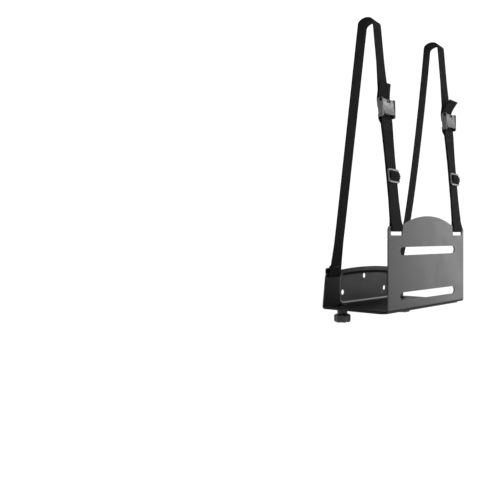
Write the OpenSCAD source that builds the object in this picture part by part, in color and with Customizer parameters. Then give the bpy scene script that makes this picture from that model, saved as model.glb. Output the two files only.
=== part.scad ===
// CPU holder that hangs on a wall or on the side of a desk.
// Two steel brackets overlap on their floors and slide apart for wider computers. Two clamp
// knobs under the floors hold the width. Two webbing straps go over the top, each with a cam
// buckle that grips the long webbing and a tri-glide that shortens the lower loop.
// X runs along the brackets, +Y points to the wall and +Z points up. The origin lies midway
// between the two lower wall screws, on the wall plane. All sizes are in millimetres.

/* [Brackets] */
// Length of both brackets along the wall
bracket_length = 200; // [196:1:240]
// Thickness of the steel sheet
sheet = 2; // [1.6:0.1:2.2]
// Depth from the arched face to the front of the wings, with the brackets pushed together
closed_depth = 112; // [108:1:130]
// How far the arched bracket pulls out
width_travel = 80; // [40:1:84]
// Height of the lower wall screws above the underside of the floors
screw_height = 20; // [19:1:24]

/* [Wall bracket] */
// Height of the wall bracket at its middle
wall_height = 56.3; // [54:0.1:70]
// Radius of the long arc along its top
wall_arc_radius = 690; // [500:10:900]
// How much narrower each side is at the top
side_taper = 5; // [3:0.5:8]
// Depth that the middle is pressed towards the wall
recess_depth = 4; // [3:0.5:5]
// Half the length of the pressed middle, at the front
recess_half_length = 63; // [60:0.5:64]
// Distance between the two lower wall screws
screw_spacing = 104; // [96:1:106]
// Diameter of the wall screw holes
screw_hole = 8; // [5:0.5:9]
// Height of the upper wall screw above the lower two
upper_screw_rise = 22; // [18:1:24]

/* [Arched bracket] */
// Height of the straight shoulders
shoulder_height = 115.7; // [110:0.1:125]
// Half the length of the arch between the shoulders
arch_half_length = 70; // [68:0.5:76]
// Rise of the arch above the shoulders
arch_rise = 15; // [8:1:24]
// Length of the two long slots
long_slot_length = 145; // [100:1:160]
// Height of the two long slots
long_slot_height = 11; // [8:0.5:14]

/* [Straps] */
// Width of the webbing
webbing_width = 25; // [20:1:25]
// Thickness of the webbing
webbing = 1.5; // [1.2:0.1:1.6]
// Distance of each strap from the middle, at the arched bracket
strap_x = 81; // [80:0.5:83]
// Distance of each strap from the middle, at the wall bracket
wing_x = 77.5; // [77.5:0.5:79]
// Lean of the left strap's front leg towards the wall, in degrees
left_front_lean = 6.4; // [5:0.1:8]
// Lean of the right strap's front leg towards the wall, in degrees
right_front_lean = 5.6; // [5:0.1:8]
// Lean of the left strap's wall leg away from the wall, in degrees
left_wall_lean = 8.6; // [7:0.1:9]
// Lean of the right strap's wall leg away from the wall, in degrees
right_wall_lean = 8.8; // [7:0.1:9]
// Radius of the bend over the top of the strap
apex_radius = 12.4; // [11:0.1:14]
// Distance from the slot bar to the cam buckle, left strap
left_cam_height = 160.5; // [155:0.5:180]
// Distance from the slot bar to the cam buckle, right strap
right_cam_height = 164.5; // [155:0.5:180]
// Distance from the slot bar to the tri-glide, left strap
left_glide_height = 69; // [60:0.5:80]
// Distance from the slot bar to the tri-glide, right strap
right_glide_height = 75.5; // [60:0.5:80]

/* [Clamps] */
// Distance of each clamp from the middle
clamp_x = 76; // [70:1:80]
// Distance of each clamp from the wall plane
clamp_from_wall = 20.5; // [19:0.5:24]
// Outside diameter of the lobed knob
knob_diameter = 24; // [22:0.5:26]
// Number of lobes on the knob
knob_lobes = 6; // [5:1:8]
// Diameter of the carriage bolt
bolt_diameter = 6; // [5:0.5:6]

/* [Hidden] */
$fn = 64;
nothing = 0.01;
cut_past = 1;
corner_steps = 8;
loop_steps = 12;
arc_steps = 24;
left = -1;
right = 1;

powder_coat = [0.20, 0.20, 0.21];
inner_coat = [0.13, 0.13, 0.14];
webbing_black = [0.06, 0.06, 0.06];
plated_steel = [0.62, 0.62, 0.63];
knob_black = [0.08, 0.08, 0.08];
brass_yellow = [0.78, 0.62, 0.30];

// Sheet metal
half_length = bracket_length / 2;
bend_inside = 2;
bend_outside = bend_inside + sheet;
floor_under = -screw_height;
floor_joint = floor_under + sheet;
floor_top = floor_joint + sheet;
wing_front = -recess_depth - sheet;
arched_front = wing_front - closed_depth;
arched_back = arched_front + sheet;
floor_setback = 7;
floor_corner = 9;
upper_floor_gap = 3;
wall_top = floor_under + wall_height;
wall_corner = 8;
recess_rim_top = 6.3;
recess_rim_bottom = 5;
recess_corner = 8;
press_outset = sheet * tan(22.5);
shoulder_top = floor_under + shoulder_height;
shoulder_corner = 5;
upper_slot_height = 82.3;
lower_slot_height = 21.6;
strap_slot_length = webbing_width + 1.8;
slot_bar = 4.5;
strap_slot_height = 7.7;
wing_slot_height = 2.6;
wing_bar = 5.8;
slot_corner = 1;

// Straps, in the plane across the brackets: [distance towards the wall, height]
bar_centre = [arched_front + sheet / 2, shoulder_top - slot_bar / 2];
wing_arc_drop = wall_arc_radius - sqrt(pow(wall_arc_radius, 2) - pow(wing_x, 2));
wing_bar_top = wall_top - wing_arc_drop;
wing_bar_under = wing_bar_top - wing_bar;
wing_bar_centre = [wing_front + sheet / 2, wing_bar_top - wing_bar / 2];
fit = 0.3;
ply_gap = 0.1;
ply_offset = webbing / 2 + ply_gap;
loop_radius = sheet / 2 + fit + webbing / 2;
wing_sewn_length = 9;
wall_leg_rise = 2;
left_wall_leg_lead = 3.5;
right_wall_leg_lead = 5;
wing_plies_meet = 5;
wall_leg_end = -6;
shoulder_plies_meet = 10;
second_ply_above_glide = 9;
return_offset = 3.55;
upper_offset = 1;
strand_settles = 12;
left_tail_length = 35;
right_tail_length = 31;
tail_steps = 5;
tail_curl = 1.4;
left_tail_splay = 4;
right_tail_splay = 13.5;
apex_flatness = 0.6;

// Cam buckle, about its own middle: [distance towards the wall, height]
cam_half_height = 12.5;
cam_plate = [1, 2.5];
ear = 1.5;
ear_inside = webbing_width / 2 + 0.5;
cam_pin_at = [-4, 9.8];
cam_pin_radius = 1.5;
ear_front_top = -7.8;
ear_front_bottom = -5.6;
ear_chamfer = 1.5;
rivet_head = 2.5;
rivet_rise = 0.8;
lever_hub = 2.4;
lever_half_width = ear_inside - fit;
spring_window = 4.2;
anchor_bar_top = -9.3;
anchor_slot = 3.1;
cam_window_bottom = -3.8;
grip_bar_under = 2.2;
anchor_lead = 6;
anchor_merge = 12;

// Tri-glide, about its own middle
glide_width = webbing_width + 3.6;
glide_height = 19;
glide_back = -2.4;
glide_thickness = 2.2;
glide_bar = 2.8;
glide_rail = 1.7;
glide_corner = 2;

// Clamps
clamp_y = -clamp_from_wall;
square_neck = bolt_diameter;
neck_gap = 0.1;
thread_gap = 0.1;
washer_gap = 0.2;
bolt_slot = bolt_diameter + 2 * fit;
washer_radius = 8;
washer = 1.5;
collar_radius = 7.2;
collar = 6.2;
knob_head = 11.8;
knob_groove = 3;
lobe_radius = 0.15 * knob_diameter;
insert_radius = 4.5;
insert_length = 13;

// Points along an arc, for outlines and webbing paths
function arc_points(centre, radius, from, to, steps) =
  [for (i = [0 : steps]) centre + radius * [cos(from + (to - from) * i / steps),
                                            sin(from + (to - from) * i / steps)]];

// An outline from its right half, whose last point may lie on the middle line
function both_halves(points) =
  concat(points, [for (i = [len(points) - 1 : -1 : 0])
    if (points[i][0] > nothing) [-points[i][0], points[i][1]]]);

// Direction square to a path at one of its points
function path_normal(path, i) =
  let (along = path[min(i + 1, len(path) - 1)] - path[max(i - 1, 0)])
  [-along[1], along[0]] / norm(along);

// Outline of a strip of even thickness along a path
function ribbon(path, thickness) =
  concat([for (i = [0 : len(path) - 1]) path[i] + path_normal(path, i) * thickness / 2],
         [for (i = [len(path) - 1 : -1 : 0]) path[i] - path_normal(path, i) * thickness / 2]);

function cross2(a, b) = a[0] * b[1] - a[1] * b[0];

function front_lean(side) = side == left ? left_front_lean : right_front_lean;
function wall_lean(side) = side == left ? left_wall_lean : right_wall_lean;
function wall_leg_lead(side) = side == left ? left_wall_leg_lead : right_wall_leg_lead;
function cam_height(side) = side == left ? left_cam_height : right_cam_height;
function glide_height_at(side) = side == left ? left_glide_height : right_glide_height;
function tail_splay(side) = side == left ? left_tail_splay : right_tail_splay;
function tail_length(side) = side == left ? left_tail_length : right_tail_length;

// Directions along and across each leg, and a point given in a leg's own directions
function front_up(side) = [sin(front_lean(side)), cos(front_lean(side))];
function front_in(side) = [cos(front_lean(side)), -sin(front_lean(side))];
function wall_up(side) = [-sin(wall_lean(side)), cos(wall_lean(side))];
function wall_in(side) = [-cos(wall_lean(side)), -sin(wall_lean(side))];
function wall_leg_start(side) =
  [wing_bar_centre[0] - wall_leg_lead(side), wing_bar_top + wall_leg_rise];
function on_front(side, point) =
  bar_centre + point[0] * front_in(side) + point[1] * front_up(side);
function on_wall_leg(side, point) =
  wall_leg_start(side) + point[0] * wall_in(side) + point[1] * wall_up(side);

// Extrudes an outline in the cross plane, [towards the wall, height], along X
module along_x(length) {
  rotate([90, 0, 90])
    linear_extrude(height = length, center = true)
      children();
}

// Extrudes an outline in the plane of the wall, [X, height], from its front face backwards
module upright(front, thickness) {
  translate([0, front + thickness, 0])
    rotate([90, 0, 0])
      linear_extrude(height = thickness)
        children();
}

// Places what is drawn about a front leg's slot bar on that leaning leg
module on_front_leg(side, height) {
  translate([side * strap_x, bar_centre[0], bar_centre[1]])
    rotate([-front_lean(side), 0, 0])
      translate([0, 0, height])
        children();
}

module round_slot(length, height) {
  square([length - height, height], center = true);
  for (side = [left, right])
    translate([side * (length - height) / 2, 0])
      circle(d = height);
}

// Rectangle whose corners are rounded, from its lower left corner
module soft_square(size, corner) {
  translate([corner, 0])
    square([size[0] - 2 * corner, size[1]]);
  translate([0, corner])
    square([size[0], size[1] - 2 * corner]);
  for (x = [corner, size[0] - corner])
    for (y = [corner, size[1] - corner])
      translate([x, y])
        circle(r = corner);
}

// Quarter bend of the sheet, about its inside centre, opening to the given angle
module sheet_bend(centre, angle) {
  along_x(bracket_length)
    translate(centre)
      rotate(angle)
        intersection() {
          difference() {
            circle(r = bend_outside);
            circle(r = bend_inside);
          }
          square(bend_outside);
        }
}

// Right half of a plate under the long wall arc, from its lower side upwards
function under_wall_arc(half, top_drop, corner) =
  let (arc_centre = [0, wall_top - wall_arc_radius],
       radius = wall_arc_radius - top_drop,
       corner_x = half - corner,
       corner_rise = sqrt(pow(radius - corner, 2) - pow(corner_x, 2)),
       meet = atan2(corner_rise, corner_x))
  concat(arc_points(arc_centre + [corner_x, corner_rise], corner, 0, meet, corner_steps),
         arc_points(arc_centre, radius, meet, 90, arc_steps));

function recess_outline(inset) =
  let (half = recess_half_length - inset,
       corner = recess_corner - inset,
       bottom = floor_under + recess_rim_bottom + inset)
  both_halves(concat(
    arc_points([half - corner, bottom + corner], corner, -90, 0, corner_steps),
    under_wall_arc(half, recess_rim_top + inset, corner)));

module wall_outline() {
  polygon(both_halves(concat([[half_length, floor_under + bend_outside]],
                             under_wall_arc(half_length - side_taper, 0, wall_corner))));
}

// Frustum between the recess outline at the front and a smaller one at the back
module pressed_block(front, back, outset) {
  hull() {
    upright(front, nothing)
      polygon(recess_outline(-outset));
    upright(back - nothing, nothing)
      polygon(recess_outline(recess_depth - outset));
  }
}

module wall_bracket() {
  color(inner_coat)
    difference() {
      union() {
        upright(wing_front, sheet)
          wall_outline();
        pressed_block(wing_front + sheet, 0, press_outset);
        sheet_bend([wing_front - bend_inside, floor_under + bend_outside], -90);
        translate([0, 0, floor_under])
          linear_extrude(height = sheet)
            wall_floor_outline();
      }
      pressed_block(wing_front - nothing, -sheet, 0);
      for (side = [left, right]) {
        translate([side * screw_spacing / 2, 0, 0])
          screw_bore();
        wing_slot(side);
        translate([side * clamp_x, clamp_y - width_travel / 2, floor_under - cut_past])
          linear_extrude(height = sheet + 2 * cut_past)
            rotate(90)
              round_slot(width_travel + bolt_slot, bolt_slot);
      }
      translate([0, 0, upper_screw_rise])
        screw_bore();
    }
}

module wall_floor_outline() {
  front = arched_front + floor_setback;
  polygon(both_halves(concat(
    arc_points([half_length - floor_corner, front + floor_corner], floor_corner, -90, 0, corner_steps),
    [[half_length, wing_front - bend_inside]])));
}

module screw_bore() {
  rotate([90, 0, 0])
    cylinder(d = screw_hole, h = 4 * sheet, center = true);
}

module wing_slot(side) {
  translate([side * wing_x - strap_slot_length / 2, 0, wing_bar_under - wing_slot_height])
    upright(wing_front - cut_past, sheet + 2 * cut_past)
      soft_square([strap_slot_length, wing_slot_height], slot_corner);
}

module arched_outline() {
  radius = (pow(arch_half_length, 2) + pow(arch_rise, 2)) / (2 * arch_rise);
  start = acos(arch_half_length / radius);
  corner = [half_length - shoulder_corner, shoulder_top - shoulder_corner];
  polygon(both_halves(concat(
    [[half_length, floor_joint + bend_outside]],
    arc_points(corner, shoulder_corner, 0, 90, corner_steps),
    arc_points([0, shoulder_top + arch_rise - radius], radius, start, 90, arc_steps))));
}

module outer_bracket() {
  floor_back = wing_front - upper_floor_gap;
  floor_front = arched_back + bend_inside;
  color(powder_coat)
    difference() {
      union() {
        upright(arched_front, sheet)
          arched_outline();
        sheet_bend([floor_front, floor_joint + bend_outside], 180);
        translate([-half_length, floor_front, floor_joint])
          cube([bracket_length, floor_back - floor_front, sheet]);
      }
      for (height = [upper_slot_height, lower_slot_height])
        translate([0, 0, floor_under + height])
          upright(arched_front - cut_past, sheet + 2 * cut_past)
            round_slot(long_slot_length, long_slot_height);
      for (side = [left, right]) {
        translate([side * strap_x - strap_slot_length / 2, 0,
                   shoulder_top - slot_bar - strap_slot_height])
          upright(arched_front - cut_past, sheet + 2 * cut_past)
            soft_square([strap_slot_length, strap_slot_height], slot_corner);
        translate([side * clamp_x, clamp_y, floor_joint - cut_past])
          linear_extrude(height = sheet + 2 * cut_past)
            square(square_neck + 2 * neck_gap, center = true);
      }
    }
}

// Low domed head, square neck through the upper floor and a round shank below it
module carriage_bolt(side) {
  head_radius = 6.5;
  head_rise = 2.6;
  head_edge = 0.7;
  dome_rise = head_rise - head_edge;
  dome_radius = (pow(head_radius, 2) + pow(dome_rise, 2)) / (2 * dome_rise);
  free_thread = 7;
  shank_end = floor_under - washer - insert_length + free_thread;
  color(plated_steel)
    translate([side * clamp_x, clamp_y, 0]) {
      translate([0, 0, floor_top])
        intersection() {
          cylinder(r = head_radius, h = head_rise);
          translate([0, 0, head_rise - dome_radius])
            sphere(r = dome_radius);
        }
      translate([-square_neck / 2, -square_neck / 2, floor_joint])
        cube([square_neck, square_neck, sheet + nothing]);
      translate([0, 0, shank_end])
        cylinder(d = bolt_diameter, h = floor_joint - shank_end + nothing);
    }
}

module clamp_washer(side) {
  color(plated_steel)
    translate([side * clamp_x, clamp_y, floor_under - washer])
      difference() {
        cylinder(r = washer_radius, h = washer);
        translate([0, 0, -cut_past])
          cylinder(d = bolt_diameter + 2 * washer_gap, h = washer + 2 * cut_past);
      }
}

module clamp_knob(side) {
  lobe_circle = knob_diameter / 2 - lobe_radius;
  head_top = floor_under - washer - collar;
  color(knob_black)
    translate([side * clamp_x, clamp_y, 0])
      difference() {
        union() {
          translate([0, 0, head_top])
            cylinder(r = collar_radius, h = collar);
          translate([0, 0, head_top - knob_head])
            linear_extrude(height = knob_head) {
              circle(r = knob_diameter / 2 - knob_groove);
              for (lobe = [1 : knob_lobes])
                rotate(lobe * 360 / knob_lobes)
                  translate([lobe_circle, 0])
                    circle(r = lobe_radius);
            }
        }
        translate([0, 0, head_top + collar - insert_length])
          cylinder(r = insert_radius, h = insert_length + cut_past);
      }
}

// Threaded brass insert moulded into the knob
module knob_insert(side) {
  bore = bolt_diameter / 2 + thread_gap;
  color(brass_yellow)
    translate([side * clamp_x, clamp_y, floor_under - washer - insert_length])
      difference() {
        cylinder(r = insert_radius, h = insert_length);
        translate([0, 0, -cut_past])
          cylinder(r = bore, h = insert_length + 2 * cut_past);
      }
}

// Path of the long webbing over the top, where both legs touch the apex circle
function near_ply_start(side) = on_front(side, [upper_offset, 0]);
function wall_ply_start(side) = on_wall_leg(side, [ply_offset, 0]);
function apex_heights(side) =
  let (gap = wall_ply_start(side) + apex_radius * wall_in(side)
             - near_ply_start(side) - apex_radius * front_in(side),
       turn = cross2(front_up(side), wall_up(side)))
  [cross2(gap, wall_up(side)) / turn, cross2(gap, front_up(side)) / turn];
function apex_centre(side) =
  near_ply_start(side) + apex_radius * front_in(side) + apex_heights(side)[0] * front_up(side);
function apex_wall_end(side) = wall_ply_start(side) + apex_heights(side)[1] * wall_up(side);
function flattened(centre, points) =
  [for (point = points) [point[0], centre[1] + apex_flatness * (point[1] - centre[1])]];

// Tail, turn round the grip bar, front leg and bend over the top
function long_path(side) =
  let (middle = cam_height(side),
       turn_centre = [(cam_plate[0] + cam_plate[1]) / 2, middle + grip_bar_under],
       turn_radius = (cam_plate[1] - cam_plate[0]) / 2 + ply_offset,
       splay_start = cam_half_height + 1)
  concat(
    [for (step = [0 : tail_steps])
      let (share = 1 - step / tail_steps,
           rise = splay_start + (tail_length(side) - splay_start) * share)
      on_front(side, [ply_gap - tail_splay(side) * pow(share, tail_curl), middle + rise])],
    [for (point = arc_points(turn_centre, turn_radius, 180, 360, loop_steps)) on_front(side, point)],
    [on_front(side, [return_offset, middle + cam_half_height])],
    [on_front(side, [upper_offset, middle + cam_half_height + strand_settles])],
    flattened(apex_centre(side), arc_points(apex_centre(side), apex_radius,
                                            180 - front_lean(side), wall_lean(side), arc_steps)));

module long_webbing(side) {
  color(webbing_black)
    translate([side * strap_x, 0, 0])
      along_x(webbing_width)
        polygon(ribbon(long_path(side), webbing));
}

// Wall leg, turned a little about the upright so that it meets the wing slot, and its sewn loop
module wall_webbing(side) {
  top = apex_wall_end(side);
  apex_drop = (1 - apex_flatness) * apex_radius * sin(wall_lean(side));
  leg_length = apex_heights(side)[1] - apex_drop - fit;
  skew = atan2(strap_x - wing_x, wall_leg_start(side)[0] - top[0]);
  loop_bottom = [wing_bar_centre[0], wing_bar_under];
  loop_shoulder = wing_bar_top + 0.75 * wall_leg_rise;
  overlap = 2;
  color(webbing_black) {
    translate([side * strap_x, top[0], 0])
      rotate(side * skew)
        translate([0, -top[0], 0])
          along_x(webbing_width)
            polygon(ribbon([on_wall_leg(side, [ply_offset, wall_leg_end]),
                            on_wall_leg(side, [ply_offset, leg_length])], webbing));
    translate([side * wing_x, 0, 0])
      along_x(webbing_width)
        polygon(ribbon(concat(
          [on_wall_leg(side, [ply_offset, wall_leg_end + overlap])],
          [on_wall_leg(side, [ply_offset, wall_leg_end])],
          arc_points(loop_bottom, loop_radius, 180, 360, loop_steps),
          [[wing_bar_centre[0] + loop_radius, loop_shoulder]],
          [on_wall_leg(side, [-ply_offset, wing_plies_meet])],
          [on_wall_leg(side, [-ply_offset, wing_sewn_length])]), webbing));
  }
}

// Second ply, loop round the slot bar, main ply and the sewn loop round the buckle's anchor bar
function short_path(side) =
  let (anchor = cam_height(side) + anchor_bar_top,
       loop_bottom = [bar_centre[0], shoulder_top - slot_bar],
       anchor_radius = (cam_plate[1] - cam_plate[0]) / 2 + fit + webbing / 2,
       anchor_centre = [(cam_plate[0] + cam_plate[1]) / 2, anchor])
  concat(
    [on_front(side, [ply_offset, glide_height_at(side) + second_ply_above_glide])],
    [on_front(side, [ply_offset, shoulder_plies_meet])],
    [[bar_centre[0] + loop_radius, shoulder_top + fit]],
    arc_points(loop_bottom, loop_radius, 0, -180, loop_steps),
    [[bar_centre[0] - loop_radius, shoulder_top + fit]],
    [on_front(side, [-ply_offset, shoulder_plies_meet])],
    [on_front(side, [-ply_offset, anchor - anchor_lead])],
    [for (point = arc_points(anchor_centre, anchor_radius, 180, 0, loop_steps)) on_front(side, point)],
    [on_front(side, [return_offset, anchor - anchor_lead])],
    [on_front(side, [ply_offset, anchor - anchor_merge])],
    [on_front(side, [ply_offset, glide_height_at(side) + second_ply_above_glide + ply_gap])]);

module short_webbing(side) {
  color(webbing_black)
    translate([side * strap_x, 0, 0])
      along_x(webbing_width)
        polygon(ribbon(short_path(side), webbing));
}

module tri_glide(side) {
  window = (glide_height - 3 * glide_bar) / 2;
  color(plated_steel)
    on_front_leg(side, glide_height_at(side))
      upright(glide_back - glide_thickness, glide_thickness)
        difference() {
          translate([-glide_width / 2, -glide_height / 2])
            soft_square([glide_width, glide_height], glide_corner);
          for (level = [left, right])
            translate([0, level * (glide_bar + window) / 2])
              square([glide_width - 2 * glide_rail, window], center = true);
        }
}

// Webbing folded forward over the tri-glide's middle bar
module glide_fold(side) {
  fold_half = [[-2.5, 6.4], [-2.6, 5.2], [-3.8, 3.9], [-5.2, 2.8], [-5.9, 1.3]];
  lower_half = [for (i = [len(fold_half) - 1 : -1 : 0]) [fold_half[i][0], -fold_half[i][1]]];
  color(webbing_black)
    on_front_leg(side, glide_height_at(side))
      along_x(webbing_width)
        polygon(ribbon(concat(fold_half, lower_half), webbing));
}

module cam_frame(side) {
  ear_shape = [[cam_plate[1], -cam_half_height],
               [cam_plate[1], cam_half_height],
               [ear_front_top + ear_chamfer, cam_half_height],
               [ear_front_top, cam_half_height - ear_chamfer],
               [ear_front_bottom, ear_chamfer - cam_half_height],
               [ear_front_bottom + ear_chamfer, -cam_half_height]];
  plate = cam_plate[1] - cam_plate[0];
  cut_depth = plate + 2 * cut_past;
  opening = 2 * ear_inside;
  color(plated_steel)
    on_front_leg(side, cam_height(side))
      difference() {
        union() {
          translate([-ear_inside, cam_plate[0], -cam_half_height])
            cube([opening, plate, 2 * cam_half_height]);
          for (end = [left, right])
            translate([end * (ear_inside + ear / 2), 0, 0])
              along_x(ear)
                polygon(ear_shape);
        }
        translate([-ear_inside, cam_plate[0] - cut_past, anchor_bar_top])
          cube([opening, cut_depth, anchor_slot]);
        translate([-ear_inside, cam_plate[0] - cut_past, cam_window_bottom])
          cube([opening, cut_depth, grip_bar_under - cam_window_bottom]);
        translate([0, cam_pin_at[0], cam_pin_at[1]])
          rotate([0, 90, 0])
            cylinder(r = cam_pin_radius, h = opening + 4 * ear, center = true);
      }
}

module cam_pin(side) {
  ear_outside = ear_inside + ear;
  color(plated_steel)
    on_front_leg(side, cam_height(side))
      translate([0, cam_pin_at[0], cam_pin_at[1]])
        rotate([0, 90, 0]) {
          cylinder(r = cam_pin_radius, h = 2 * ear_outside, center = true);
          for (end = [left, right])
            translate([0, 0, end * (ear_outside + rivet_rise / 2)])
              cylinder(r = rivet_head, h = rivet_rise, center = true);
        }
}

// Thumb plate, hub round the pin and the toothed nose that bites the webbing
module cam_lever(side) {
  plate_thickness = 1.2;
  plate_front = cam_pin_at[0] - lever_hub;
  plate_back = plate_front + plate_thickness;
  plate_bottom = -9;
  nose = [-0.95, cam_pin_at[1] + 1.2];
  nose_height = 1;
  nose_root = 2.1;
  nose_crown = 2.35;
  bore = cam_pin_radius + 0.1;
  window_under = cam_pin_at[1] - 3;
  window_height = 8;
  window_depth = 9;
  color(plated_steel)
    on_front_leg(side, cam_height(side))
      difference() {
        along_x(2 * lever_half_width)
          difference() {
            union() {
              translate(cam_pin_at)
                circle(r = lever_hub);
              polygon([[plate_front, plate_bottom], [plate_back, plate_bottom],
                       [plate_back, cam_pin_at[1]], [plate_front, cam_pin_at[1]]]);
              polygon([cam_pin_at - [0, nose_root], nose,
                       nose + [0, nose_height], cam_pin_at + [0, nose_crown]]);
            }
            translate(cam_pin_at)
              circle(r = bore);
          }
        translate([-spring_window, plate_front - cut_past, window_under])
          cube([2 * spring_window, window_depth, window_height]);
      }
}

module cam_spring(side) {
  wire = 0.7;
  inside = cam_pin_radius + 0.15;
  end_gap = 0.7;
  length = 2 * (spring_window - end_gap);
  color(plated_steel)
    on_front_leg(side, cam_height(side))
      translate([0, cam_pin_at[0], cam_pin_at[1]])
        rotate([0, 90, 0])
          difference() {
            cylinder(r = inside + wire, h = length, center = true);
            cylinder(r = inside, h = length + 2 * cut_past, center = true);
          }
}

wall_bracket();
outer_bracket();
carriage_bolt(left);  // carriage_bolt_left
carriage_bolt(right);  // carriage_bolt_right
clamp_washer(left);  // clamp_washer_left
clamp_washer(right);  // clamp_washer_right
clamp_knob(left);  // clamp_knob_left
clamp_knob(right);  // clamp_knob_right
knob_insert(left);  // knob_insert_left
knob_insert(right);  // knob_insert_right
wall_webbing(left);  // wall_webbing_left
wall_webbing(right);  // wall_webbing_right
long_webbing(left);  // long_webbing_left
long_webbing(right);  // long_webbing_right
short_webbing(left);  // short_webbing_left
short_webbing(right);  // short_webbing_right
tri_glide(left);  // tri_glide_left
tri_glide(right);  // tri_glide_right
glide_fold(left);  // glide_fold_left
glide_fold(right);  // glide_fold_right
cam_frame(left);  // cam_frame_left
cam_frame(right);  // cam_frame_right
cam_lever(left);  // cam_lever_left
cam_lever(right);  // cam_lever_right
cam_pin(left);  // cam_pin_left
cam_pin(right);  // cam_pin_right
cam_spring(left);  // cam_spring_left
cam_spring(right);  // cam_spring_right
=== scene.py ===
"""CPU holder: two sliding steel brackets, clamp knobs and two webbing straps with cam buckles.

Shapes are worked out in millimetres in the CAD frame (X along the brackets, +Y to the wall, +Z up)
and turned into metres when a mesh is made.
"""

import random
from math import (acos, asin, atan2, ceil, copysign, cos, degrees, exp, log, pi, radians, sin, sqrt,
                  tan)

import bmesh
import bpy
from mathutils import Matrix, Vector
from mathutils.geometry import delaunay_2d_cdt


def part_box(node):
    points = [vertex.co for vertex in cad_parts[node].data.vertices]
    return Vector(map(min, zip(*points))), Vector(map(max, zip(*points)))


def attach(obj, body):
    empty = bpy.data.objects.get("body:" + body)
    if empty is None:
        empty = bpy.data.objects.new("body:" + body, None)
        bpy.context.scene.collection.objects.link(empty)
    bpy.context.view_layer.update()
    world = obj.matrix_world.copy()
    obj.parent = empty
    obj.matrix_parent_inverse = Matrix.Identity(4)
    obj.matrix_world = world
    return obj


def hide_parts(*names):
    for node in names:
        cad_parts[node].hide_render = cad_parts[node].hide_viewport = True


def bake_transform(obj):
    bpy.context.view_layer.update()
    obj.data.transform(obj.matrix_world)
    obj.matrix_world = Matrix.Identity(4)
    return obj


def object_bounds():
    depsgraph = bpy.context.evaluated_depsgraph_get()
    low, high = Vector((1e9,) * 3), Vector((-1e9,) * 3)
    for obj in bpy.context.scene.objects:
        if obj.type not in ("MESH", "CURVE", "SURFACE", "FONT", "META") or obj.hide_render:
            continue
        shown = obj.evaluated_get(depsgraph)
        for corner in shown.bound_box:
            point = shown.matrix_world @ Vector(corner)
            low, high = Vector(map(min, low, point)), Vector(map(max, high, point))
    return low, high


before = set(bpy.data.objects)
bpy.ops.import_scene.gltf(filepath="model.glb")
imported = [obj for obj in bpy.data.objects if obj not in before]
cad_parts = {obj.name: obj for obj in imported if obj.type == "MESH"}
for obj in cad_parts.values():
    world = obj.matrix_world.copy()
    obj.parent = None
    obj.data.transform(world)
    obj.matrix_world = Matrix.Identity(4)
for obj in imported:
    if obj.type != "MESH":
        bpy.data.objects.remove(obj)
cad_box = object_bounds()

MM = 0.001
LEFT, RIGHT = -1, 1
SIDES = {"left": LEFT, "right": RIGHT}
BOTH = (LEFT, RIGHT)


def node_box(node):
    """Lowest and highest corner of a CAD node, in millimetres."""
    low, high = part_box(node)
    return low / MM, high / MM


# -------- sizes

WALL_LOW, WALL_HIGH = node_box("wall_bracket")
OUTER_LOW, OUTER_HIGH = node_box("outer_bracket")
# both brackets
HALF_LENGTH = WALL_HIGH.x
SHEET = 2.0
BEND_MID_RADIUS = 3.0
BEND_OUTSIDE = 4.0
BEND_LENGTH = BEND_MID_RADIUS * pi / 2
SHEET_ROUNDING = 0.3

# the arched bracket
ARCHED_FRONT = OUTER_LOW.y
SHOULDER_TOP = OUTER_HIGH.z - 15.0
SHOULDER_CORNER = 5.0
ARCH_HALF_LENGTH = 70.0
ARCH_RISE = OUTER_HIGH.z - SHOULDER_TOP
LONG_SLOT_LENGTH = 145.0
LONG_SLOT_HEIGHT = 11.0
LONG_SLOT_LEVELS = (62.3, 1.6)
SLOT_BAR = 4.5
STRAP_SLOT_LENGTH = 26.8
STRAP_SLOT_HEIGHT = 7.7
STRAP_SLOT_CORNER = 1.0

# the wall bracket
WING_FRONT = -6.0
SIDE_TAPER = 5.0
WALL_ARC_RADIUS = 690.0
WALL_CORNER = 8.0
FLOOR_CORNER = 9.0
RECESS_DEPTH = 4.0
RECESS_HALF_LENGTH = 63.0
RECESS_CORNER = 8.0
RECESS_RIM_TOP = 6.3
RECESS_RIM_BOTTOM = 5.0
WING_BAR = 5.8
WING_SLOT_HEIGHT = 2.6
SCREW_RADIUS = 4.0
SCREW_X = 52.0
UPPER_SCREW_Z = 22.0

# the clamps
CLAMP_X = 76.0
CLAMP_Y = -20.5
WIDTH_TRAVEL = 80.0
BOLT_RADIUS = 3.0
BOLT_SLOT = 6.6
BOLT_SQUARE = 6.2
BOLT_SQUARE_CORNER = 0.5

# the straps
WEBBING_WIDTH = 25.0
WEBBING = 1.5
STRAP_X = 81.0
WING_X = 77.5
WING_TOP = WALL_HIGH.z - WALL_ARC_RADIUS + sqrt(WALL_ARC_RADIUS ** 2 - WING_X ** 2)
FRONT_LEAN = {LEFT: radians(6.4), RIGHT: radians(5.6)}
WALL_LEAN = {LEFT: radians(8.6), RIGHT: radians(8.8)}
WALL_LEG_LEAD = {LEFT: 3.5, RIGHT: 5.0}
WALL_LEG_RISE = 2.0
WING_PLIES_MEET = 3.0
WALL_LEG_END = -6.0
SHOULDER_PLIES_MEET = 10.0
APEX_RADIUS = 12.4
APEX_FLATNESS = 0.6
PLY_GAP = 0.1
PLY_OFFSET = WEBBING / 2 + PLY_GAP
FIT = 0.3
LOOP_RADIUS = SHEET / 2 + FIT + WEBBING / 2
RETURN_OFFSET = 3.55
UPPER_OFFSET = 1.0
STRAND_SETTLES = 12.0
SECOND_PLY_ABOVE_GLIDE = 9.0
WING_SEWN = 6.5
SLACK_Y, SLACK_ABOVE_WING = -1.0, 3.2
BUCKLE_SEWN = (-28.5, -16.5)
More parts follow.
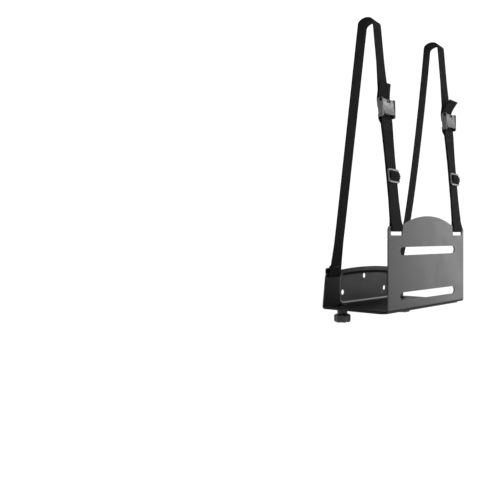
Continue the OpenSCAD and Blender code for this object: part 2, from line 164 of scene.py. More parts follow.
TAIL_LENGTH = {LEFT: 35.0, RIGHT: 31.0}
TAIL_CURL = 1.4
CAM_HEIGHT = {LEFT: 160.5, RIGHT: 164.5}
GLIDE_HEIGHT = {LEFT: 69.0, RIGHT: 75.5}
TAIL_SPLAY = {LEFT: 4.0, RIGHT: 13.5}
TAIL_SIDEWAYS = {LEFT: 0.0, RIGHT: 1.0}
GLIDE_TWIST = 6.0
GLIDE_DOWN, GLIDE_UP = 30.0, 25.0
FRONT_TWIST = {LEFT: 11.0, RIGHT: 8.0}
WALL_TWIST = 10.0
WALL_TWIST_RUN = 24.0
BOW_FORWARD = {LEFT: 0.8, RIGHT: 6.4}
BOW_SIDEWAYS = {LEFT: 0.0, RIGHT: 3.5}

# the cam buckles, in their own leg's axes
CAM_HALF_HEIGHT = 12.5
CAM_PLATE_MIDDLE = 1.75
CAM_SHEET = 1.5
CAM_PIN_Y, CAM_PIN_Z = -4.0, 9.8
CAM_PIN_RADIUS = 1.5
GRIP_BAR_UNDER = 2.2
ANCHOR_BAR_TOP = -9.3


# -------- outlines

def arc(centre, radius, start, end, steps):
    """Points along an arc between two angles in degrees."""
    angles = [radians(start + (end - start) * i / steps) for i in range(steps + 1)]
    return [(centre[0] + radius * cos(a), centre[1] + radius * sin(a)) for a in angles]


def both_halves(points, middle=0.03):
    """A closed outline from its right half; points on the middle line aren't repeated."""
    return points + [(-x, y) for x, y in reversed(points) if x > middle]


def rounded(corners, steps=5):
    """A closed outline from (x, y, radius) corners."""
    outline = []
    for i, (x, y, radius) in enumerate(corners):
        here = Vector((x, y))
        to_last = (Vector(corners[i - 1][:2]) - here).normalized()
        to_next = (Vector(corners[(i + 1) % len(corners)][:2]) - here).normalized()
        if not radius:
            outline.append((x, y))
            continue
        half = to_last.angle(to_next) / 2
        centre = here + (to_last + to_next).normalized() * radius / sin(half)
        first = here + to_last * radius / tan(half) - centre
        last = here + to_next * radius / tan(half) - centre
        turn = atan2(first.x * last.y - first.y * last.x, first.dot(last))
        for k in range(steps + 1):
            spoke = Matrix.Rotation(turn * k / steps, 2) @ first
            outline.append(tuple(centre + spoke))
    return outline


def box_outline(centre, width, height, corner, steps=4):
    x, y = centre
    a, b = width / 2, height / 2
    return rounded([(x - a, y - b, corner), (x + a, y - b, corner),
                    (x + a, y + b, corner), (x - a, y + b, corner)], steps)


def round_hole(centre, radius, points):
    """A circle of evenly spaced points."""
    return arc(centre, radius, 0, 360 - 360 / points, points - 1)


def round_slot(centre, length, height, upright=False):
    reach = (length - height) / 2
    ends = arc((reach, 0), height / 2, -90, 90, 16) + arc((-reach, 0), height / 2, 90, 270, 16)
    if upright:
        ends = [(y, x) for x, y in ends]
    return [(centre[0] + x, centre[1] + y) for x, y in ends]


def inside(point, loop):
    x, y = point
    within = False
    for (x0, y0), (x1, y1) in zip(loop, loop[1:] + loop[:1]):
        if (y0 > y) != (y1 > y) and x < (x1 - x0) * (y - y0) / (y1 - y0) + x0:
            within = not within
    return within


# -------- mesh helpers

def linked(name, data):
    """A new object in the scene that shows a mesh, lamp or camera."""
    made = bpy.data.objects.new(name, data)
    bpy.context.scene.collection.objects.link(made)
    return made


def new_object(name, verts, faces, place=None):
    """Makes a smooth closed mesh from points in millimetres, with its normals outwards."""
    place = place or Matrix.Identity(4)
    mesh = bpy.data.meshes.new(name)
    mesh.from_pydata([(place @ Vector(v)) * MM for v in verts], [], faces)
    work = bmesh.new()
    work.from_mesh(mesh)
    bmesh.ops.recalc_face_normals(work, faces=work.faces)
    work.to_mesh(mesh)
    work.free()
    for polygon in mesh.polygons:
        polygon.use_smooth = True
    return linked(name, mesh)


def soften_edges(obj, width, segments=3, angle=40):
    """Rounds sharp edges and keeps the flats flat in the shading."""
    bevel = obj.modifiers.new("Rounding", "BEVEL")
    bevel.width = width * MM
    bevel.segments = segments
    bevel.limit_method = "ANGLE"
    bevel.angle_limit = radians(angle)
    bevel.use_clamp_overlap = True
    flats = obj.modifiers.new("Flats", "WEIGHTED_NORMAL")
    flats.keep_sharp = True


def sheet_object(name, outline, holes, place, thickness, rounding, pressed=(), creases=()):
    """Cuts a flat pattern, folds and presses it with place(u, v, depth), and gives it thickness.

    Pressed contours are (loop, depth) pairs from the rim inwards, and creases are pairs of points."""
    points, edges = [], []
    for loop in [outline, *holes, *[loop for loop, _ in pressed]]:
        first = len(points)
        points += [Vector(p) for p in loop]
        edges += [(first + i, first + (i + 1) % len(loop)) for i in range(len(loop))]
    contour_start = len(outline) + sum(len(hole) for hole in holes)
    contour_depths = [depth for loop, depth in pressed for _ in loop]
    for start, end in creases:
        edges.append((len(points), len(points) + 1))
        points += [Vector(start), Vector(end)]
    flat, _, faces, origins, _, _ = delaunay_2d_cdt(points, edges, [], 0, 1e-4)

    def depth_at(i):
        for origin in origins[i]:
            if 0 <= origin - contour_start < len(contour_depths):
                return contour_depths[origin - contour_start]
        around = [depth for loop, depth in pressed if inside(flat[i], loop)]
        return around[-1] if around else 0.0

    kept = []
    for face in faces:
        middle = sum((flat[i] for i in face), Vector((0, 0))) / len(face)
        if inside(middle, outline) and not any(inside(middle, hole) for hole in holes):
            kept.append(face)
    used = sorted({i for face in kept for i in face})
    index = {old: new for new, old in enumerate(used)}
    verts = [place(flat[i].x, flat[i].y, depth_at(i)) for i in used]
    made = new_object(name, verts, [[index[i] for i in face] for face in kept])
    solid = made.modifiers.new("Thickness", "SOLIDIFY")
    solid.thickness = thickness * MM
    solid.offset = 0
    solid.use_even_offset = True
    soften_edges(made, rounding)
    return made


def ring_stack(name, rings, place=None, segments=64, closed=False):
    """A surface through rings; each ring is a function of the angle giving (radius, height)."""
    verts, faces, rows = [], [], []
    for ring in rings:
        if ring(0.0)[0] == 0:
            rows.append([len(verts)] * segments)
            verts.append((0, 0, ring(0.0)[1]))
            continue
        rows.append(list(range(len(verts), len(verts) + segments)))
        for i in range(segments):
            angle = 2 * pi * i / segments
            radius, height = ring(angle)
            verts.append((radius * cos(angle), radius * sin(angle), height))
    for row, above in zip(rows, rows[1:] + rows[:1] if closed else rows[1:]):
        for i in range(segments):
            j = (i + 1) % segments
            corners = [row[i], row[j], above[j], above[i]]
            faces.append(list(dict.fromkeys(corners)))
    return new_object(name, verts, faces, place)


def circle(radius, height):
    return lambda angle: (radius, height)


def swept_faces(rings, sides):
    """Faces between one ring of points and the next, and a cap at each end."""
    faces = []
    for i in range(rings - 1):
        for k in range(sides):
            a, b = i * sides + k, i * sides + (k + 1) % sides
            faces.append([a, b, b + sides, a + sides])
    last = (rings - 1) * sides
    return faces + [list(range(sides)), list(range(last, last + sides))]


def tube_mesh(path, radius, sides):
    """Vertices and faces of a round rod along a path."""
    verts = []
    last = len(path) - 1
    side = None
    for i, point in enumerate(path):
        ahead = (path[min(i + 1, last)] - path[max(i - 1, 0)]).normalized()
        if side is None:
            side = ahead.orthogonal().normalized()
        side = (side - ahead * side.dot(ahead)).normalized()
        over = ahead.cross(side)
        for k in range(sides):
            angle = 2 * pi * k / sides
            verts.append(point + side * radius * cos(angle) + over * radius * sin(angle))
    return verts, swept_faces(len(path), sides)


def joined(name, parts, place=None):
    """One object from several (verts, faces) meshes."""
    verts, faces = [], []
    for part_verts, part_faces in parts:
        first = len(verts)
        verts += part_verts
        faces += [[first + i for i in face] for face in part_faces]
    return new_object(name, verts, faces, place)


# -------- materials

class Look:
    """A material being built: its shader, the object's own position, and what adds nodes to it."""

    def __init__(self, name, roughness, metallic=0.0, shine=0.5):
        self.material = bpy.data.materials.new(name)
        self.material.use_nodes = True
        self.tree = self.material.node_tree
        self.shader = self.tree.nodes["Principled BSDF"]
        self.feed("Roughness", roughness)
        self.feed("Metallic", metallic)
        self.feed("Specular IOR Level", shine)
        self.place = self.node("TexCoord").outputs["Object"]

    def join(self, value, socket):
        """Feeds a socket from another node's output, or sets it to a value or a colour."""
        if isinstance(value, bpy.types.NodeSocket):
            self.tree.links.new(value, socket)
        else:
            socket.default_value = (*value, 1) if socket.type == "RGBA" else value

    def feed(self, name, value):
        self.join(value, self.shader.inputs[name])

    def node(self, kind, inputs=None, **settings):
        made = self.tree.nodes.new("ShaderNode" + kind)
        for key, value in settings.items():
            setattr(made, key, value)
        for key, value in (inputs or {}).items():
            self.join(value, made.inputs[key])
        return made

    def calc(self, operation, *values):
        return self.node("Math", dict(enumerate(values)), operation=operation).outputs[0]

    def times(self, first, *others):
        for other in others:
            first = self.calc("MULTIPLY", first, other)
        return first

    def parts(self, vector):
        """The X, Y and Z outputs of a vector."""
        return self.node("SeparateXYZ", {0: vector}).outputs

    def normal(self):
        return self.node("NewGeometry").outputs["Normal"]

    def grain(self, size, detail=2.0, stretch=None):
        """Noise whose features are about size millimetres across."""
        place = self.place
        if stretch:
            place = self.node("Mapping", {"Vector": place, "Scale": stretch}).outputs[0]
        inputs = {"Vector": place, "Scale": 1 / (size * MM), "Detail": detail, "Roughness": 0.55}
        return self.node("TexNoise", inputs).outputs["Fac"]

    def spread(self, value, low=0.0, high=1.0, start=0.3, end=0.7):
        """Low where a value is start and high where it is end; start and end suit a noise value."""
        inputs = {"Value": value, "From Min": start, "From Max": end, "To Min": low, "To Max": high}
        return self.node("MapRange", inputs).outputs["Result"]

    def across(self, position, start, end, low=0.0, high=1.0):
        """Low at one place and high at another, with the places in millimetres."""
        return self.spread(position, low, high, start * MM, end * MM)

    def mixed(self, share, under, over):
        """A colour between two, each of which may be a colour or another node's output."""
        inputs = {"Factor": share, 6: under, 7: over}
        return self.node("Mix", inputs, data_type="RGBA").outputs[2]

    def paint(self, share, under, over):
        self.feed("Base Color", self.mixed(share, under, over))

    def edge_wear_and_highlight(self, width):
        """1 along convex edges, 0 on the flats; used to paint both edge wear and an edge highlight."""
        soft = self.node("Bevel", {"Radius": width * MM}, samples=6).outputs[0]
        dot = self.node("VectorMath", {0: self.normal(), 1: soft}, operation="DOT_PRODUCT")
        return self.spread(dot.outputs["Value"], 1.0, 0.0, 0.80, 0.995)

    def bump(self, height, depth, strength):
        """Raises a height output by a depth in millimetres."""
        inputs = {"Height": height, "Distance": depth * MM, "Strength": strength}
        self.feed("Normal", self.node("Bump", inputs).outputs[0])


def shaded(colour, factor):
    return [min(1, part * factor) for part in colour]


def powder_coat(name, colour, worn_and_lit_edge_colour, roughness, shine, patch, patch_shine):
    """Textured paint; patch is a function giving where a second colour lies and that colour."""
    look = Look(name, roughness, shine=shine)
    cloud, peel, grit = look.grain(22, 3), look.grain(0.8), look.grain(0.25, 1)
    share, patch_colour = patch(look)
    base = look.mixed(look.spread(cloud), shaded(colour, 0.88), shaded(colour, 1.12))
    base = look.mixed(share, base, patch_colour)
    base = look.mixed(look.spread(grit, 0.0, 0.35, 0.62, 0.75), base, shaded(colour, 1.7))
    # convex edges are paler, partly as wear and partly as a painted highlight
    look.paint(look.edge_wear_and_highlight(0.7), base, worn_and_lit_edge_colour)
    look.feed("Specular IOR Level", look.calc("MULTIPLY_ADD", share, patch_shine - shine, shine))
    look.feed("Roughness", look.spread(cloud, roughness - 0.04, roughness + 0.05))
    look.bump(look.calc("ADD", peel, look.times(grit, 0.45)), 0.05, 0.8)
    return look.material


def inside_and_bend_painted_shade(look):
    """The inside of the arched bracket behind its front face is painted dark, partly as a dull black
    inside and partly as painted shade; low on its bend, which faces down, it is painted darker still as
    painted shade.
    """
    inside_black_and_shade, bend_painted_shade = (0.018, 0.018, 0.0184), (0.004, 0.004, 0.0042)
    bend_top = OUTER_LOW.z + BEND_OUTSIDE
    _, y, z = look.parts(look.place)
    behind = look.across(y, ARCHED_FRONT + 0.9, ARCHED_FRONT + 1.9)
    # painted shade on the lower part of the bend, which faces down
    below = look.across(z, bend_top - 0.6, bend_top - 1.6)
    return look.calc("MAXIMUM", behind, below), look.mixed(below, inside_black_and_shade, bend_painted_shade)


def recess_painted_light(look):
    """The pressed middle is painted a little paler to the left as painted light, and the slopes facing
    up low down and those facing right get a painted highlight.
    """
    painted_light_grey, flat_light_share = (0.26, 0.26, 0.265), 0.16
    lower_slopes_end, floor_top = 12, -14.6
    pressed_face = WING_FRONT + RECESS_DEPTH
    x, y, z = look.parts(look.place)
    facing = look.parts(look.normal())
    leftward = look.across(x, -58, -20, 1.0, 0.35)
    level = look.across(z, -15, 25, 0.9, 1.0)
    pressed = look.across(y, pressed_face - 3.2, pressed_face - 1.4)
    # painted light: the pressed middle is paler towards the left
    flat = look.times(leftward, level, pressed, flat_light_share)
    upward = look.spread(facing["Z"], 0.0, 1.0, 0.1, 0.35)
    upward = look.times(upward, look.across(z, lower_slopes_end, lower_slopes_end - 2))
    rightward = look.spread(facing["X"], 0.0, 1.0, 0.06, 0.25)
    above_floor = look.across(z, floor_top - 1, floor_top)
    in_front = look.across(y, pressed_face - 2.0, pressed_face - 2.6)
    # painted highlight on the slopes that face up and on those that face right
    slope = look.times(look.calc("MAXIMUM", upward, rightward), above_floor, in_front)
    return look.calc("MAXIMUM", flat, slope), painted_light_grey


def woven_webbing(name):
    """Black webbing with herringbone ribs, from the ribbon's own lengthwise and crosswise metres."""
    column, pitch = 1.55 * MM, 1.15 * MM
    look = Look(name, 0.85, shine=0.03)
    weave = look.parts(look.node("UVMap", uv_map="weave").outputs[0])
    zigzag = look.calc("DIVIDE", look.calc("PINGPONG", weave["X"], column), column)
    phase = look.calc("ADD", look.calc("DIVIDE", weave["Y"], pitch), zigzag)
    rib = look.calc("ABSOLUTE", look.calc("SINE", look.times(phase, pi)))
    off_middle = look.calc("ABSOLUTE", look.calc("SUBTRACT", zigzag, 0.5))
    spine = look.spread(off_middle, 1.0, 0.0, 0.36, 0.5)
    fuzz, cloud = look.grain(0.18), look.grain(14, 3)
    height = look.calc("ADD", look.times(rib, spine), look.times(fuzz, 0.45))
    # painted shade: darker in the grooves between the ribs and along the column edges, with a cloudy
    # random tone
    shade = look.spread(look.times(height, look.spread(cloud, 0.75, 1.15)), 0, 1, 0.1, 1.2)
    look.paint(shade, (0.003, 0.003, 0.0032), (0.018, 0.018, 0.0188))
    look.bump(height, 0.16, 0.9)
    return look.material


def thread(name):
    look = Look(name, 0.6)
    twist = look.grain(0.15, 1)
    look.paint(look.spread(twist), (0.004, 0.004, 0.0042), (0.014, 0.014, 0.0145))
    look.bump(twist, 0.05, 0.8)
    return look.material


def satin_metal(name, colour, roughness, brush=(1, 1, 0.08)):
    """Plated or drawn metal with fine drag marks and a little unevenness."""
    look = Look(name, roughness, metallic=1.0)
    cloud, marks = look.grain(5, 3), look.grain(0.35, 3, brush)
    base = look.mixed(look.spread(cloud), shaded(colour, 0.82), shaded(colour, 1.12))
    # convex edges are paler, partly as wear and partly as a painted highlight
    look.paint(look.edge_wear_and_highlight(0.4), base, shaded(colour, 2.2))
    uneven = look.spread(cloud, roughness - 0.03, roughness + 0.05)
    look.feed("Roughness", look.calc("ADD", look.spread(marks, -0.07, 0.09), uneven))
    look.bump(marks, 0.012, 0.6)
    return look.material


def zinc_plate(name):
    """Black zinc with a faint spangle."""
    look = Look(name, 0.32, metallic=1.0)
    spangle = look.node("TexVoronoi", {"Vector": look.place, "Scale": 1 / (1.2 * MM)})
    shade = spangle.outputs["Distance"]
    look.paint(shade, (0.006, 0.006, 0.0068), (0.016, 0.016, 0.0156))
    look.feed("Roughness", look.spread(look.grain(2.5, 3), 0.24, 0.42))
    look.bump(look.grain(0.3), 0.01, 0.6)
    return look.material


def moulded_nylon(name):
    look = Look(name, 0.42)
    cloud = look.grain(6, 3)
    base = look.mixed(look.spread(cloud), (0.004, 0.004, 0.0042), (0.007, 0.007, 0.0072))
    # convex edges are paler, partly as wear and partly as a painted highlight
    look.paint(look.edge_wear_and_highlight(0.8), base, (0.02, 0.02, 0.021))
    look.feed("Roughness", look.spread(cloud, 0.36, 0.5))
    look.bump(look.grain(0.22), 0.03, 0.7)
    return look.material


MATERIALS = {
    # the wall coat's pressed middle gets painted light and its slopes a painted highlight
    "wall_bracket_coat": powder_coat(
        "wall_coat", (0.0055, 0.0055, 0.0058), (0.022, 0.022, 0.023), 0.42, 0.12, recess_painted_light, 0.3),
    # the outer coat's inside gets a dark colour that is partly painted shade, and its lower bend gets
    # painted shade
    "outer_bracket_coat": powder_coat(
        "outer_coat", (0.023, 0.023, 0.0235), (0.08, 0.08, 0.082), 0.40, 0.3, inside_and_bend_painted_shade, 0.02),
    "webbing": woven_webbing("black_webbing"),
    "zinc": zinc_plate("black_zinc"),
    "cam_steel": satin_metal("cam_nickel", (0.10, 0.10, 0.102), 0.42),
    # the lever's steel is paler than the frame's, as painted light for the highlight it catches
    "cam_lever_steel": satin_metal("lever_nickel_painted_light", (0.15, 0.15, 0.153), 0.36),
    "tri_glide_steel": satin_metal("glide_nickel", (0.11, 0.11, 0.113), 0.36, (0.08, 1, 1)),
    "spring_steel": satin_metal("spring_wire", (0.16, 0.16, 0.165), 0.30),
    "knob_plastic": moulded_nylon("black_nylon"),
    "brass": satin_metal("insert_brass", (0.70, 0.52, 0.24), 0.30),
}
THREAD = thread("black_thread")


def belongs(obj, body, slot, *stands_for, material=None):
    """Gives a piece the material of its slot, puts it on the body it rides on and hides the CAD nodes
    it stands for.
    """
    obj.data.materials.append(material or MATERIALS[slot])
    if body:
        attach(obj, body)
    if stands_for:
        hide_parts(*stands_for)


# -------- brackets

def folded(plate_y, bend_y, bend_z, away):
    """Folds a pattern: plate above v = 0, then a quarter bend, then a floor that runs in Y."""
    def place(u, v, depth):
        if v >= 0:
            return (u, plate_y + depth, bend_z + v)
        if v > -BEND_LENGTH:
            angle = -v / BEND_MID_RADIUS
            return (u, bend_y - away * BEND_MID_RADIUS * cos(angle),
                    bend_z - BEND_MID_RADIUS * sin(angle))
        return (u, bend_y - away * (v + BEND_LENGTH), bend_z - BEND_MID_RADIUS)
    return place


def bend_creases(steps=8):
    reach = HALF_LENGTH + SHEET
    return [((-reach, -BEND_LENGTH * i / steps), (reach, -BEND_LENGTH * i / steps))
            for i in range(steps + 1)]


def strap_slot(x, v, height):
    return box_outline((x, v), STRAP_SLOT_LENGTH, height, STRAP_SLOT_CORNER)


def outer_bracket():
    bend_y = ARCHED_FRONT + BEND_OUTSIDE
    bend_z = OUTER_LOW.z + BEND_OUTSIDE
    floor_end = -BEND_LENGTH - (OUTER_HIGH.y - bend_y)
    arch_radius = (ARCH_HALF_LENGTH ** 2 + ARCH_RISE ** 2) / (2 * ARCH_RISE)
    arch_centre = (0, OUTER_HIGH.z - bend_z - arch_radius)
    arch_start = degrees(acos(ARCH_HALF_LENGTH / arch_radius))
    shoulder = (HALF_LENGTH - SHOULDER_CORNER, SHOULDER_TOP - bend_z - SHOULDER_CORNER)
    back_corner = 2.0
    outline = both_halves(
        arc((HALF_LENGTH - back_corner, floor_end + back_corner), back_corner, -90, 0, 4)
        + [(HALF_LENGTH, 0.0)]
        + arc(shoulder, SHOULDER_CORNER, 0, 90, 8)
        + arc(arch_centre, arch_radius, arch_start, 90, 24))
    holes = [round_slot((0, z - bend_z), LONG_SLOT_LENGTH, LONG_SLOT_HEIGHT) for z in LONG_SLOT_LEVELS]
    slot_v = SHOULDER_TOP - SLOT_BAR - STRAP_SLOT_HEIGHT / 2 - bend_z
    bolt_v = -BEND_LENGTH - (CLAMP_Y - bend_y)
    for side in BOTH:
        neck = (side * CLAMP_X, bolt_v)
        holes.append(strap_slot(side * STRAP_X, slot_v, STRAP_SLOT_HEIGHT))
        holes.append(box_outline(neck, BOLT_SQUARE, BOLT_SQUARE, BOLT_SQUARE_CORNER, 2))
    place = folded(ARCHED_FRONT + SHEET / 2, bend_y, bend_z, 1)
    made = sheet_object("outer_bracket_sheet", outline, holes, place, SHEET, SHEET_ROUNDING,
                        creases=bend_creases())
    belongs(made, "outer_bracket", "outer_bracket_coat", "outer_bracket")


def under_wall_arc(half, top_drop, corner, lift):
    """Right half of the wall plate's top: its corner and the long arc."""
    centre_z = WALL_HIGH.z - WALL_ARC_RADIUS + lift
    radius = WALL_ARC_RADIUS - top_drop
    corner_x = half - corner
    rise = sqrt((radius - corner) ** 2 - corner_x ** 2)
    meet = degrees(atan2(rise, corner_x))
    return (arc((corner_x, centre_z + rise), corner, 0, meet, 8)
            + arc((0, centre_z), radius, meet, 90, 24))


def recess_loop(inset, lift):
    half = RECESS_HALF_LENGTH - inset
    corner = RECESS_CORNER - inset
    bottom = WALL_LOW.z + RECESS_RIM_BOTTOM + inset + lift
    return both_halves(arc((half - corner, bottom + corner), corner, -90, 0, 8)
                       + under_wall_arc(half, RECESS_RIM_TOP + inset, corner, lift))


def recess_contours(lift):
    """Contours down the pressed slope: a round turn in, a straight 45 degree run and a turn out."""
    turn_radius, slope, steps = 1.2, radians(45), 4
    first = -(SHEET / 2 + turn_radius) * tan(slope / 2)
    last = RECESS_DEPTH + (turn_radius - SHEET / 2) * tan(slope / 2)
    angles = [slope * i / steps for i in range(steps + 1)]
    turn = [(turn_radius * sin(a), turn_radius * (1 - cos(a))) for a in angles]
    contours = [(first + run, drop) for run, drop in turn]
    contours += [(last - run, RECESS_DEPTH - drop) for run, drop in reversed(turn)]
    return [(recess_loop(inset, lift), depth) for inset, depth in contours]


def wall_bracket():
    bend_y = WING_FRONT - BEND_OUTSIDE + SHEET
    bend_z = WALL_LOW.z + BEND_OUTSIDE
    lift = -bend_z
    floor_front = -BEND_LENGTH - (bend_y - WALL_LOW.y)
    outline = both_halves(
        arc((HALF_LENGTH - FLOOR_CORNER, floor_front + FLOOR_CORNER), FLOOR_CORNER, -90, 0, 10)
        + [(HALF_LENGTH, 0.0)]
        + under_wall_arc(HALF_LENGTH - SIDE_TAPER, 0, WALL_CORNER, lift))
    holes = [round_hole((x, z + lift), SCREW_RADIUS, 32)
             for x, z in ((-SCREW_X, 0), (SCREW_X, 0), (0, UPPER_SCREW_Z))]
    slot_z = WING_TOP - WING_BAR - WING_SLOT_HEIGHT / 2 + lift
    slot_v = -BEND_LENGTH - (bend_y - (CLAMP_Y - WIDTH_TRAVEL / 2))
    for side in BOTH:
        holes.append(strap_slot(side * WING_X, slot_z, WING_SLOT_HEIGHT))
        holes.append(round_slot((side * CLAMP_X, slot_v), WIDTH_TRAVEL + BOLT_SLOT, BOLT_SLOT, True))
    place = folded(WING_FRONT + SHEET / 2, bend_y, bend_z, -1)
    made = sheet_object("wall_bracket_sheet", outline, holes, place, SHEET, SHEET_ROUNDING,
                        pressed=recess_contours(lift), creases=bend_creases())
    belongs(made, "wall_bracket", "wall_bracket_coat", "wall_bracket")


# -------- clamps

def square_ring(half, height):
    return lambda angle: (half / max(abs(cos(angle)), abs(sin(angle))), height)


def thread_ring(radius, depth, height):
    """A ring of a 1 mm pitch screw thread."""
    def ring(angle):
        phase = (height + angle / (2 * pi)) % 1.0
        return (radius - depth * abs(2 * phase - 1), height)
    return ring


def carriage_bolt(hand, place):
    """Domed head on the upper floor, square neck through it and a threaded shank."""
    node = f"carriage_bolt_{hand}"
    head, rise, edge, chamfer, neck_gap = 6.5, 2.6, 0.7, 0.15, 1.6
    thread_depth, thread_step, point = 0.35, 0.125, 0.6
    dome_steps = 10
    top = OUTER_LOW.z + SHEET
    dome = rise - edge
    dome_radius = (head ** 2 + dome ** 2) / (2 * dome)
    rings = [circle(0, top + rise)]
    for i in range(1, dome_steps + 1):
        angle = asin(head / dome_radius) * i / dome_steps
        height = top + rise - dome_radius * (1 - cos(angle))
        rings.append(circle(dome_radius * sin(angle), height))
    rings += [circle(head, top + chamfer), circle(head - chamfer, top),
              circle(BOLT_RADIUS + neck_gap, top),
              square_ring(BOLT_RADIUS, top), square_ring(BOLT_RADIUS, top - SHEET)]
    shank_end = node_box(node)[0].z
    height = top - SHEET
    while height > shank_end + point:
        rings.append(thread_ring(BOLT_RADIUS, thread_depth, height))
        height -= thread_step
    rings += [circle(BOLT_RADIUS - point, shank_end), circle(0, shank_end)]
    belongs(ring_stack(f"{node}_body", rings, place, 48), "outer_bracket", "zinc", node)


def clamp_washer(hand, place):
    node = f"clamp_washer_{hand}"
    low, high = node_box(node)
    bore, outside, chamfer = 3.2, 8.0, 0.25
    rings = [circle(bore, low.z + chamfer), circle(bore, high.z - chamfer),
             circle(bore + chamfer, high.z), circle(outside - chamfer, high.z),
             circle(outside, high.z - chamfer), circle(outside, low.z + chamfer),
             circle(outside - chamfer, low.z), circle(bore + chamfer, low.z)]
    belongs(ring_stack(f"{node}_ring", rings, place, 72, closed=True), node, "zinc", node)


KNOB_LOBES, KNOB_LOBE_RADIUS, KNOB_LOBE_CIRCLE, KNOB_VALLEY = 6, 3.6, 8.4, 9.0


def knob_outline(angle):
    """Radius of the lobed head at an angle: lobes and valleys with a smooth blend between."""
    step = 2 * pi / KNOB_LOBES
    off = (angle + step / 2) % step - step / 2
    reach = KNOB_LOBE_RADIUS ** 2 - (KNOB_LOBE_CIRCLE * sin(off)) ** 2
    lobe = KNOB_LOBE_CIRCLE * cos(off) + sqrt(reach) if reach > 0 else 0.0
    blend, overshoot = 0.7, 0.012
    return blend * log(exp(lobe / blend) + exp(KNOB_VALLEY / blend)) - overshoot


def lobed(inset, height, sag=0.0):
    """A ring of the knob's head; sag lowers its lobes more than its valleys."""
    lobe_rise = KNOB_LOBE_CIRCLE + KNOB_LOBE_RADIUS - KNOB_VALLEY

    def ring(angle):
        radius = knob_outline(angle)
        return (radius - inset, height - sag * (radius - KNOB_VALLEY) / lobe_rise)
    return ring


def clamp_knob(hand, place):
    """Bore for the insert, collar, lobed head and the shallow dish under it."""
    node = f"clamp_knob_{hand}"
    low, high = node_box(node)
    collar_height, bore_depth, bore, collar = 6.2, 13.0, 4.5, 7.2
    inside, top = high.z - bore_depth, high.z
    head_top = top - collar_height
    dish = low.z + 0.9
    neck = [(0, inside), (bore, inside), (bore, top - 0.3), (bore + 0.3, top), (collar - 0.5, top),
            (collar - 0.12, top - 0.15), (collar, top - 0.55), (collar, head_top + 0.9),
            (collar + 0.25, head_top + 0.3), (collar + 0.8, head_top)]
    shoulder = [(1.5, 0.15, 0.5), (0.75, 0.55, 0.8), (0.25, 1.2, 0.9), (0.0, 2.1, 0.6), (0.0, 4.5, 0.0)]
    rim = [(0.05, 3.5), (0.2, 2.2), (0.6, 1.1), (1.3, 0.35), (2.2, 0.0)]
    under = [(6.2, low.z), (5.7, low.z + 0.35), (5.4, dish), (1.5, dish), (0, dish)]
    rings = [circle(*ring) for ring in neck]
    rings += [lobed(inset, head_top - drop, sag) for inset, drop, sag in shoulder]
    rings += [lobed(inset, low.z + rise) for inset, rise in rim]
    rings += [circle(*ring) for ring in under]
    belongs(ring_stack(f"{node}_head", rings, place, 120), node, "knob_plastic", node)


def clamps():
    for hand, side in SIDES.items():
        place = Matrix.Translation((side * CLAMP_X, CLAMP_Y, 0))
        carriage_bolt(hand, place)
        clamp_washer(hand, place)
        clamp_knob(hand, place)
        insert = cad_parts[f"knob_insert_{hand}"]
        insert.data.materials.clear()
        belongs(insert, None, "brass")


# -------- straps

BAR_Y, BAR_Z = ARCHED_FRONT + SHEET / 2, SHOULDER_TOP - SLOT_BAR / 2


class Leg:
    """A straight leg of a strap in (Y, Z): its start, the way up it and the way into the loop."""

    def __init__(self, y, z, lean, inwards):
        self.start = Vector((y, z))
        self.up = Vector((inwards * sin(lean), cos(lean)))
        self.inside = Vector((inwards * cos(lean), -sin(lean)))

    def at(self, y, z):
        return self.start + y * self.inside + z * self.up


FRONT_LEG = {side: Leg(BAR_Y, BAR_Z, FRONT_LEAN[side], 1) for side in BOTH}
WALL_LEG = {side: Leg(WING_FRONT + SHEET / 2 - WALL_LEG_LEAD[side], WING_TOP + WALL_LEG_RISE,
                      WALL_LEAN[side], -1) for side in BOTH}


def apex(side):
    """Centre of the bend over the top and the heights where it meets the two legs."""
    front, wall = FRONT_LEG[side], WALL_LEG[side]
    near = front.at(UPPER_OFFSET + APEX_RADIUS, 0)
    gap = wall.at(PLY_OFFSET + APEX_RADIUS, 0) - near
    turn = front.up.cross(wall.up)
    front_height = gap.cross(wall.up) / turn
    wall_height = gap.cross(front.up) / turn
    return near + front_height * front.up, front_height, wall_height


def leg_place(side, height):
    """Places what is drawn about the slot bar on a front leg."""
    return (Matrix.Translation((side * STRAP_X, BAR_Y, BAR_Z))
            @ Matrix.Rotation(-FRONT_LEAN[side], 4, "X") @ Matrix.Translation((0, 0, height)))


def cam_place(side):
    return leg_place(side, CAM_HEIGHT[side])


def cam_pin_place(side):
    return cam_place(side) @ Matrix.Translation((0, CAM_PIN_Y, CAM_PIN_Z))


def softened(route, longest=4.0):
    """Rounds the corners of a route of (x, y, z, twist) points and fills in points."""
    filled = [Vector(route[0])]
    for start, end in zip(route, route[1:]):
        start, end = Vector(start), Vector(end)
        count = max(1, ceil((end - start).to_3d().length / longest))
        filled += [start.lerp(end, k / count) for k in range(1, count + 1)]
    for _ in range(2):
        cut = [filled[0]]
        for start, end in zip(filled, filled[1:]):
            cut += [start.lerp(end, 0.25), start.lerp(end, 0.75)]
        filled = cut + [filled[-1]]
    return filled


def webbing_section():
    """Half-round selvedges, a shallow groove beside each, and a slightly crowned face."""
    half = WEBBING / 2
    edge = WEBBING_WIDTH / 2 - half
    columns = 22
    groove_depth, groove_inset, groove_width, crown_height = 0.13, 1.1, 0.45, 0.05

    def face(share):
        a = edge * (2 * share - 1)
        groove = groove_depth * exp(-((abs(a) - edge + groove_inset) / groove_width) ** 2)
        crown = crown_height * (1 - (a / edge) ** 2)
        return a, half - groove + crown

    right = [(edge + half * cos(t), half * sin(t))
             for t in (radians(90 - 30 * k) for k in range(1, 6))]
    left = [(-a, -n) for a, n in right]
    front = [face(i / columns) for i in range(columns + 1)]
    back = [(-a, -n) for a, n in front]
    return front + right + back + left


